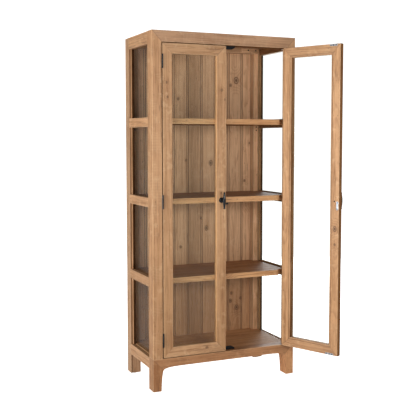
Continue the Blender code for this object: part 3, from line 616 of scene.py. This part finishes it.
def board_pine(node, number, tone, sawn):
    """The pine of one CAD board, with its stains, mitres, grooves and knots."""
    place = PLACES[body_of(node)]
    low, high = corners_in(node, place)
    axes, half = board_axes(low, high, grain=0 if node.startswith(("shelf", "floor")) else None)
    inside = axes.inverted()
    knots = []
    for x, z, radius in KNOTS.get(node, ()):
        spot = inside @ Vector((x, 0, z))
        knots.append((spot.x, spot.z, radius))
    turn = place.to_3x3()
    faces = [(turn @ direction, tint_or_shade) for direction, tint_or_shade in tinted_and_shaded_faces(node)]
    upright = node.startswith("front_post") or "stile" in node
    return pine("pine_" + node, half, tone, number + 1.0, place @ axes, knots, sawn,
                tint=TINTS.get(node, seeded(number, CHANCE_TINT, 9)), calm=BOARD_CALM, faces=faces,
                seams=board_seams(node, low, high, inside), dirt=SEAM_DIRT.get(node, USUAL_DIRT),
                foot=UPRIGHT_FOOT if upright else None)


def paint_cad():
    """Give every CAD piece its finish; returns the two that made pieces share."""
    glass = clear_glass("clear_glass")
    iron = painted_iron("black_iron")
    plastic = black_plastic("black_plastic")
    for number, node in enumerate(sorted(frame["nodes"])):
        obj = frame["nodes"][node]
        if "glass" in node:
            material = glass
        elif node.startswith(("hinge", "handle")):
            material = iron
        elif node.startswith("glide") or node.endswith("catch"):
            material = plastic
        else:
            found = [entry for entry in WOOD_TONES if node.startswith(entry[0])]
            if not found:
                continue
            material = board_pine(node, number, found[0][1], found[0][2])
        obj.data.materials.clear()
        obj.data.materials.append(material)
    return iron, plastic


# ---- helpers for new pieces --------------------------------------------------------------------
ROUNDING = 0.0012           # of the edges of small strips and blocks
SMOOTH_ANGLE = math.radians(35)
FIT = 0.0003                # between a made piece and what it rests against


def new_piece(name, mesh, place, body, materials):
    """Put a mesh in the scene as a piece that rides on a body."""
    obj = bpy.data.objects.new(name, mesh)
    bpy.context.scene.collection.objects.link(obj)
    obj.matrix_world = place
    for material in materials:
        mesh.materials.append(material)
    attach(obj, body)
    return obj


def soften(bm, width=ROUNDING, segments=2):
    """Round every edge."""
    bmesh.ops.bevel(bm, geom=bm.edges[:], offset=width, segments=segments, affect="EDGES",
                    profile=0.5, clamp_overlap=True)


def soft_block(bm, size, middle):
    """Add a block with rounded edges to bm."""
    block = bmesh.new()
    bmesh.ops.create_cube(block, size=1.0)
    bmesh.ops.scale(block, vec=size, verts=block.verts)
    soften(block)
    bmesh.ops.translate(block, verts=block.verts, vec=middle)
    join_mesh(bm, block)


def join_mesh(bm, extra):
    """Add another bmesh to bm and free it."""
    piece = bpy.data.meshes.new("extra")
    extra.to_mesh(piece)
    extra.free()
    bm.from_mesh(piece)
    bpy.data.meshes.remove(piece)


def to_mesh(bm, name):
    """A smooth-shaded mesh with sharp corners, made from bm, which is freed."""
    bmesh.ops.recalc_face_normals(bm, faces=bm.faces)
    mesh = bpy.data.meshes.new(name)
    bm.to_mesh(mesh)
    bm.free()
    mesh.shade_smooth()
    mesh.set_sharp_from_angle(angle=SMOOTH_ANGLE)
    return mesh


def extrude_outline(bm, outline, length):
    """Extrude an outline, given in x and y, along z, centred on z = 0."""
    verts = [bm.verts.new((x, y, -length / 2)) for x, y in outline]
    face = bm.faces.new(verts)
    grown = bmesh.ops.extrude_face_region(bm, geom=[face])
    moved = [item for item in grown["geom"] if isinstance(item, bmesh.types.BMVert)]
    bmesh.ops.translate(bm, verts=moved, vec=(0, 0, length))


# ---- back planks -------------------------------------------------------------------------------
PLANK_WIDTH = 0.095
CHAMFER = 0.0016            # half the width of the V between two planks
CHAMFER_DEPTH = 0.0030
QUIRK_INSET = 0.011         # the small groove beside each joint
QUIRK_HALF_WIDTH = 0.0013
QUIRK_DEPTH = 0.0024
TONGUE = 0.0035
PLANK_CLEARANCE = 0.0008


def plank_outline(width, thick, has_groove, has_tongue):
    """A beaded, tongued and grooved plank in section; x across, y from its front face to its back."""
    left, right = -width / 2, width / 2 - PLANK_CLEARANCE
    front, back = -thick / 2, thick / 2
    third = thick / 6
    points = [(left + CHAMFER, front)]
    if has_tongue:
        quirk = width / 2 - QUIRK_INSET
        points += [(quirk - QUIRK_HALF_WIDTH, front), (quirk, front + QUIRK_DEPTH),
                   (quirk + QUIRK_HALF_WIDTH, front)]
    points += [(right - CHAMFER, front), (right, front + CHAMFER_DEPTH)]
    if has_tongue:
        points += [(right, -third), (right + TONGUE, -third), (right + TONGUE, third), (right, third)]
    points += [(right, back - CHAMFER_DEPTH), (right - CHAMFER, back), (left + CHAMFER, back),
               (left, back - CHAMFER_DEPTH)]
    if has_groove:
        depth = left + TONGUE
        wall = third + PLANK_CLEARANCE / 4
        points += [(left, wall), (depth, wall), (depth, -wall), (left, -wall)]
    points.append((left, front + CHAMFER_DEPTH))
    return points


PLANK_KNOTS = {             # by plank: across and up from the plank's middle, and radius
    4: ((-0.022, 0.611, 0.008), (0.030, 0.225, 0.006), (-0.008, -0.326, 0.008)),
    5: ((0.038, -0.147, 0.007),),
    6: ((0.013, 0.207, 0.014), (-0.019, -0.214, 0.013)),
    8: ((0.003, 0.737, 0.018), (-0.036, 0.705, 0.009), (-0.036, -0.703, 0.011), (0.009, -0.750, 0.014),
        (0.036, -0.690, 0.008), (-0.030, -0.652, 0.009)),
    9: ((-0.013, 0.087, 0.008), (0.023, 0.333, 0.006)),
}
PLANK_TINTS_AND_LIGHT = {1: 0.30, 2: 0.22, 9: 0.05}     # planks 1 and 2 lighter as painted light against the shade in the back's left corner, plank 9 by its tone; the others' come by chance
PLANK_CHANCE_TINT = 0.015
# where along the planks their painted shade starts and stops, and its factor
PLANK_FOOT = (-0.28, -0.62, PLANK_FOOT_SHADE)


def plank_seams(width, is_last):
    """Planes of dirt along a plank's joints and in its quirk, across the plank."""
    offsets = [-width / 2] if is_last else [-width / 2, width / 2, width / 2 - QUIRK_INSET]
    return [((offset, 0, 0), (1, 0, 0)) for offset in offsets]


def make_planks():
    """Upright planks of one width across the back, with two cut ones at its sides."""
    low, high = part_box("back_panel")
    width, thick, height = high - low
    middle = (low + high) / 2
    whole_each_side = int((width / 2) / PLANK_WIDTH - 0.5)
    count = 2 * whole_each_side + 3
    for number in range(count):
        left = max(-width / 2, (number - count / 2) * PLANK_WIDTH)
        right = min(width / 2, (number + 1 - count / 2) * PLANK_WIDTH)
        is_last = number == count - 1
        bm = bmesh.new()
        extrude_outline(bm, plank_outline(right - left, thick, number > 0, not is_last), height)
        name = "back_plank_%d" % (number + 1)
        material = pine("pine_" + name, (PLANK_WIDTH, PLANK_WIDTH, height / 2), "back", 101.0 + number,
                        knots=PLANK_KNOTS.get(number + 1, ()), sawn=0.2,
                        tint=PLANK_TINTS_AND_LIGHT.get(number + 1, seeded(number, PLANK_CHANCE_TINT, 7)),
                        calm=0.25, seams=plank_seams(right - left, is_last), dirt=0.80,
                        foot=PLANK_FOOT)
        place = Matrix.Translation((middle.x + (left + right) / 2, middle.y, middle.z))
        plank = new_piece(name, to_mesh(bm, name), place, "cabinet", [material])
        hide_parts("back_panel")


# ---- glazing beads and stops -------------------------------------------------------------------
BEAD_FACE = 0.0112          # width of a bead, seen from the front
BEAD_DIRT = 0.8
MITRE_GAP = 0.00015
NO_EDGES = Vector((1.0, 1.0, 1.0))      # half sizes so large that no edge looks worn


def bead_strip(turn, width, height, depth):
    """One mitred strip of a bead frame, on the side that turn quarter turns lead to."""
    long, short = (width, height) if turn % 2 == 0 else (height, width)
    low = -short / 2
    strip = bmesh.new()
    extrude_outline(strip, [(-long / 2 + MITRE_GAP, low), (long / 2 - MITRE_GAP, low),
                            (long / 2 - BEAD_FACE - MITRE_GAP, low + BEAD_FACE),
                            (-long / 2 + BEAD_FACE + MITRE_GAP, low + BEAD_FACE)], depth)
    soften(strip)
    turned = Matrix.Rotation(turn * math.pi / 2, 4, "Z")
    strip.transform(Matrix.Rotation(math.pi / 2, 4, "X") @ turned)
    for item in strip.faces:
        item.material_index = turn % 2
    return strip


def bead_pines(name, width, height, seed, lit_and_shaded):
    """The pine of a bead frame's level strips and of its upright ones, with dirty outer corners, and
    painted shade and light on the upright ones' faces.
    """
    level = Matrix.Rotation(math.pi / 2, 4, "Y")
    ends = [((end * height / 2, 0, 0), (1, 0, 0)) for end in (-1, 1)]
    edges = [((end * width / 2, 0, 0), (1, 0, 0)) for end in (-1, 1)]
    return [
        pine("pine_%s_level" % name, NO_EDGES, "door", seed, level, sawn=0.0, seams=ends,
             dirt=BEAD_DIRT),
        pine("pine_%s_upright" % name, NO_EDGES, "door", seed + 0.5, sawn=0.0, seams=edges,
             dirt=BEAD_DIRT, faces=lit_and_shaded),
    ]


def make_door_beads():
    """Four mitred strips round each door's glass."""
    for side, seed in (("left", 301.0), ("right", 311.0)):
        body = side + "_door"
        low, high = corners_in("door_%s_bead" % side, PLACES[body])
        width, depth, height = (high[axis] - low[axis] for axis in range(3))
        bm = bmesh.new()
        for turn in range(4):
            join_mesh(bm, bead_strip(turn, width, height, depth))
        toward_hinge, away = (LEFT, RIGHT) if side == "left" else (RIGHT, LEFT)
        name = "glazing_bead_" + side
        # painted shade on the beads' faces that look away from the hinge, painted light on those that
        # look toward it
        materials = bead_pines(name, width, height, seed,
                               [(away, REVEAL_SHADE), (toward_hinge, LIT_REVEAL)])
        place = PLACES[body] @ Matrix.Translation((low + high) / 2)
        bead = new_piece(name, to_mesh(bm, name), place, body, materials)
        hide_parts("door_%s_bead" % side)


STOP_WIDTH = 0.022
STOP_INSET = 0.012          # from the cabinet's side to a stop's outer face


def make_side_stops():
    """Upright strips outside the side glass, beside the posts, two in each bay of each side."""
    names = ["bottom", "middle_1", "middle_2", "middle_3", "top"]
    for side, out in (("left", -1), ("right", 1)):
        glass_low, glass_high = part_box("side_glass_" + side)
        glass_face = glass_low.x if out < 0 else glass_high.x
        for number, (below, above) in enumerate(zip(names, names[1:]), start=1):
            low_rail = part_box("side_rail_%s_%s" % (below, side))
            high_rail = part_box("side_rail_%s_%s" % (above, side))
            outer = low_rail[0].x if out < 0 else low_rail[1].x
            depth = abs(outer - glass_face) - STOP_INSET - FIT
            y_half = (low_rail[1].y - low_rail[0].y) / 2
            length = high_rail[0].z - low_rail[1].z - 2 * FIT
            bm = bmesh.new()
            for end in (-1, 1):
                soft_block(bm, (depth, STOP_WIDTH, length), (0, end * (y_half - STOP_WIDTH / 2), 0))
            name = "side_stop_%s_%d" % (side, number)
            place = Matrix.Translation((glass_face + out * (FIT + depth / 2),
                                        (low_rail[0].y + low_rail[1].y) / 2,
                                        (low_rail[1].z + high_rail[0].z) / 2))
            # painted shade on the stops' front faces
            material = pine("pine_" + name, NO_EDGES, "front", 201.0 + 10 * number + out,
                            sawn=0.0, faces=[(FORWARD, STOP_SHADE)])
            new_piece(name, to_mesh(bm, name), place, "cabinet", [material])


# ---- strike plates, latch and screws -----------------------------------------------------------
PLATE_THICKNESS = 0.0010
PLATE_HEIGHT = 0.0110       # of the plates that the catches hold
PLATE_SCREW_SHARES = (-0.34, 0.0, 0.34)     # of a plate's length, from its middle
PLATE_SCREW_RADIUS = 0.0036
TOP_PLATE = (0.0068, 0.020, 0.051)          # in from the door's end, in from its free edge, length
BOTTOM_PLATE = (0.0070, 0.026, 0.056)
LATCH_Z = 1.071             # height of the latch's tongue and of the plate that it reaches
LATCH_PLATE_SIZE = (0.014, 0.050)
LATCH_PLATE_INSET = 0.0105
LATCH_SCREW_SPREAD = 0.0185
LATCH_SCREW_RADIUS = 0.0032
HANDLE_SCREW_RADIUS = 0.0045
FLAT_RISE = 0.0002          # how far a sunk screw stands out
DOMED_RISE = 0.0014
ANCHOR_SCREW_SHARES = (0.365, 0.80)         # of the wall-anchor block's length
ANCHOR_SCREW_LIFT = 0.004
ANCHOR_SCREW_RADIUS = 0.0048
POST_SCREW_INSET = 0.023
POST_SCREW_DROPS = (0.009, 0.030)           # below a shelf
POST_SCREW_RADIUS = 0.0045


def add_plate(bm, centre, width, height):
    """A steel plate with clipped corners, lying on a face whose outward direction is +y."""
    plate = bmesh.new()
    clip = min(width, height) * 0.22
    x, z = width / 2, height / 2
    outline = [(-x + clip, -z), (x - clip, -z), (x, -z + clip), (x, z - clip),
               (x - clip, z), (-x + clip, z), (-x, z - clip), (-x, -z + clip)]
    extrude_outline(plate, outline, PLATE_THICKNESS)
    soften(plate, 0.0003, segments=1)
    plate.transform(Matrix.Translation(centre) @ Matrix.Rotation(math.pi / 2, 4, "X"))
    join_mesh(bm, plate)


def add_screw(bm, centre, radius, index, rise=FLAT_RISE, facing=1):
    """A domed screw head with a cross slot, standing out by rise, facing +y or, for -1, -y.

    index is the head's material; the slot's is 2.
    """
    screw = bmesh.new()
    head = bmesh.ops.create_uvsphere(screw, u_segments=16, v_segments=8, radius=radius)
    for vert in head["verts"]:
        vert.co.z = max(vert.co.z, 0.0)
    bmesh.ops.remove_doubles(screw, verts=screw.verts, dist=0.00002)
    bmesh.ops.scale(screw, vec=(1, 1, rise / radius), verts=screw.verts)
    turn = 0.4
    for face in screw.faces:
        middle = face.calc_center_median()
        arm = min(abs(middle.x * math.cos(turn) + middle.y * math.sin(turn)),
                  abs(middle.y * math.cos(turn) - middle.x * math.sin(turn)))
        in_slot = middle.z > 0 and arm < radius * 0.16 and middle.to_2d().length < radius * 0.72
        face.material_index = 2 if in_slot else index
    screw.transform(Matrix.Rotation(-math.pi / 2, 4, "X"))
    if facing < 0:
        screw.transform(Matrix.Rotation(math.pi, 4, "Z"))
    screw.transform(Matrix.Translation(centre))
    join_mesh(bm, screw)


def add_catch_plates(bm, low, high, edge, toward_hinge):
    """The plates that the top and bottom catches hold, on a stile's inner face."""
    for end, onward, (inset, start, length) in ((high.z, -1, TOP_PLATE), (low.z, 1, BOTTOM_PLATE)):
        x = edge + toward_hinge * (start + length / 2)
        z = end + onward * inset
        add_plate(bm, (x, high.y + PLATE_THICKNESS / 2, z), length, PLATE_HEIGHT)
        for share in PLATE_SCREW_SHARES:
            place = (x + share * length, high.y + PLATE_THICKNESS, z)
            add_screw(bm, place, PLATE_SCREW_RADIUS, 2)


def make_strikes(steel, iron, plastic):
    """Steel strike plates on the doors' inner faces, with their screws and the handles' screws."""
    for side in ("left", "right"):
        body = side + "_door"
        toward_hinge = -1 if side == "left" else 1
        low, high = corners_in("door_%s_free_stile" % side, PLACES[body])
        edge = low.x if side == "right" else high.x
        bm = bmesh.new()
        add_catch_plates(bm, low, high, edge, toward_hinge)
        if side == "right":
            x = edge + toward_hinge * LATCH_PLATE_INSET
            add_plate(bm, (x, high.y + PLATE_THICKNESS / 2, LATCH_Z), *LATCH_PLATE_SIZE)
            for end in (-1, 1):
                place = (x, high.y + PLATE_THICKNESS, LATCH_Z + end * LATCH_SCREW_SPREAD)
                add_screw(bm, place, LATCH_SCREW_RADIUS, 1)
        handle_low, handle_high = corners_in("handle_" + side, PLACES[body])
        middle = (handle_low + handle_high) / 2
        add_screw(bm, (middle.x, high.y, middle.z), HANDLE_SCREW_RADIUS, 1)
        name = "strike_plates_" + side
        new_piece(name, to_mesh(bm, name), PLACES[body], body, [steel, iron, plastic])


LATCH_BLOCKS = (            # size; its middle past the door's free edge; off the door; its height
    ((0.030, 0.012, 0.0205), -0.017, 0.0002, 1.06625),
    ((0.050, 0.006, 0.0110), 0.005, 0.0020, LATCH_Z),
)


def make_latch(plastic):
    """The black latch on the left door's inner face, whose tongue reaches behind the right door."""
    high = corners_in("door_left_free_stile", PLACES["left_door"])[1]
    bm = bmesh.new()
    for size, past, off, z in LATCH_BLOCKS:
        soft_block(bm, size, (high.x + past, high.y + off + size[1] / 2, z))
    mesh = to_mesh(bm, "latch_left")
    new_piece("latch_left", mesh, PLACES["left_door"], "left_door", [plastic])


def make_carcass_screws(iron, plastic):
    """Screws in the wall-anchor block and in the rear posts, under the shelves."""
    block_low, block_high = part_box("anchor_block")
    bm = bmesh.new()
    for share in ANCHOR_SCREW_SHARES:
        x = block_low.x + share * (block_high.x - block_low.x)
        z = (block_low.z + block_high.z) / 2 + ANCHOR_SCREW_LIFT
        add_screw(bm, (x, block_low.y, z), ANCHOR_SCREW_RADIUS, 1, DOMED_RISE, facing=-1)
    for side in ("left", "right"):
        post_low, post_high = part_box("rear_post_" + side)
        x = post_high.x - POST_SCREW_INSET if side == "left" else post_low.x + POST_SCREW_INSET
        for number in (1, 2, 3):
            shelf_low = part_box("shelf_%d" % number)[0]
            for drop in POST_SCREW_DROPS:
                place = (x, block_high.y + FIT, shelf_low.z - drop)
                add_screw(bm, place, POST_SCREW_RADIUS, 1, DOMED_RISE, facing=-1)
    new_piece("carcass_screws", to_mesh(bm, "carcass_screws"), STANDING, "cabinet",
              [iron, iron, plastic])


# ---- stage, light and camera -------------------------------------------------------------------
FLOOR_HALF_SIZE = 30.0
FLOOR_GLOW = (0.15, 1.15)   # as light on the cabinet, and as the camera sees it
WORLD_GLOW = (0.24, 1.25)
SOFTBOXES = (               # name, place, target, width, height, watts
    ("front_softbox", (-0.25, -4.0, 1.75), (0.0, 0.0, 1.0), 0.8, 0.8, 57.0),
    ("side_softbox", (-5.0, -1.6, 1.15), (0.0, 0.0, 1.0), 2.2, 2.0, 172.0),
    ("back_card", (2.4, 4.2, 1.6), (0.3, 0.2, 0.9), 3.2, 2.2, 105.0),
)
CAMERA_PLACE = (-2.0242, -4.2061, 1.458)
CAMERA_HEADING = math.radians(24.27)        # to the right of straight on
CAMERA_DIP = math.radians(4.14)             # below level
CAMERA_LENS = 68.11
CAMERA_SHIFT = (-0.0132, -0.0315)


def make_floor():
    """A plain pale floor that looks white to the camera."""
    mesh = bpy.data.meshes.new("floor")
    bm = bmesh.new()
    bmesh.ops.create_grid(bm, x_segments=1, y_segments=1, size=FLOOR_HALF_SIZE)
    bm.to_mesh(mesh)
    bm.free()
    floor = bpy.data.objects.new("floor", mesh)
    bpy.context.scene.collection.objects.link(floor)
    tree = Tree("pale_floor")
    seen = tree.add("LightPath").outputs["Is Camera Ray"]
    glow = tree.ease(seen, 0.0, 1.0, *FLOOR_GLOW)
    shader = tree.add("BsdfPrincipled", {"Base Color": (0.86, 0.86, 0.86, 1), "Roughness": 0.9,
                                         "Specular IOR Level": 0.0,
                                         "Emission Color": (1, 1, 1, 1), "Emission Strength": glow})
    mesh.materials.append(tree.finish(shader.outputs[0]))


def make_world():
    """A white studio round the cabinet, dimmer as a light than the camera sees it."""
    world = bpy.data.worlds.new("studio")
    world.use_nodes = True
    bpy.context.scene.world = world
    nodes, links = world.node_tree.nodes, world.node_tree.links
    seen = nodes.new("ShaderNodeLightPath").outputs["Is Camera Ray"]
    strength = nodes.new("ShaderNodeMapRange")
    strength.inputs["To Min"].default_value = WORLD_GLOW[0]
    strength.inputs["To Max"].default_value = WORLD_GLOW[1]
    links.new(seen, strength.inputs["Value"])
    background = nodes["Background"]
    background.inputs["Color"].default_value = (1, 1, 1, 1)
    links.new(strength.outputs[0], background.inputs["Strength"])


def make_lights():
    for name, place, target, width, height, watts in SOFTBOXES:
        light = bpy.data.lights.new(name, "AREA")
        light.shape = "RECTANGLE"
        light.size = width
        light.size_y = height
        light.energy = watts
        obj = bpy.data.objects.new(name, light)
        bpy.context.scene.collection.objects.link(obj)
        obj.location = place
        toward = Vector(target) - Vector(place)
        obj.rotation_euler = toward.to_track_quat("-Z", "Y").to_euler()
        obj.visible_camera = False


def make_camera():
    """Stands left of the front, a little above the cabinet's middle, as in the photograph."""
    camera = bpy.data.cameras.new("camera")
    camera.sensor_width = 36.0
    camera.lens = CAMERA_LENS
    camera.shift_x, camera.shift_y = CAMERA_SHIFT
    obj = bpy.data.objects.new("camera", camera)
    bpy.context.scene.collection.objects.link(obj)
    obj.location = CAMERA_PLACE
    obj.rotation_euler = (math.radians(90) - CAMERA_DIP, 0, -CAMERA_HEADING)
    bpy.context.scene.camera = obj


make_camera()
make_world()
make_lights()
make_floor()
black_iron, plastic_black = paint_cad()
bright_steel = zinc_steel("zinc_steel")
make_planks()
make_side_stops()
make_door_beads()
make_strikes(bright_steel, black_iron, plastic_black)
make_latch(plastic_black)
make_carcass_screws(black_iron, plastic_black)
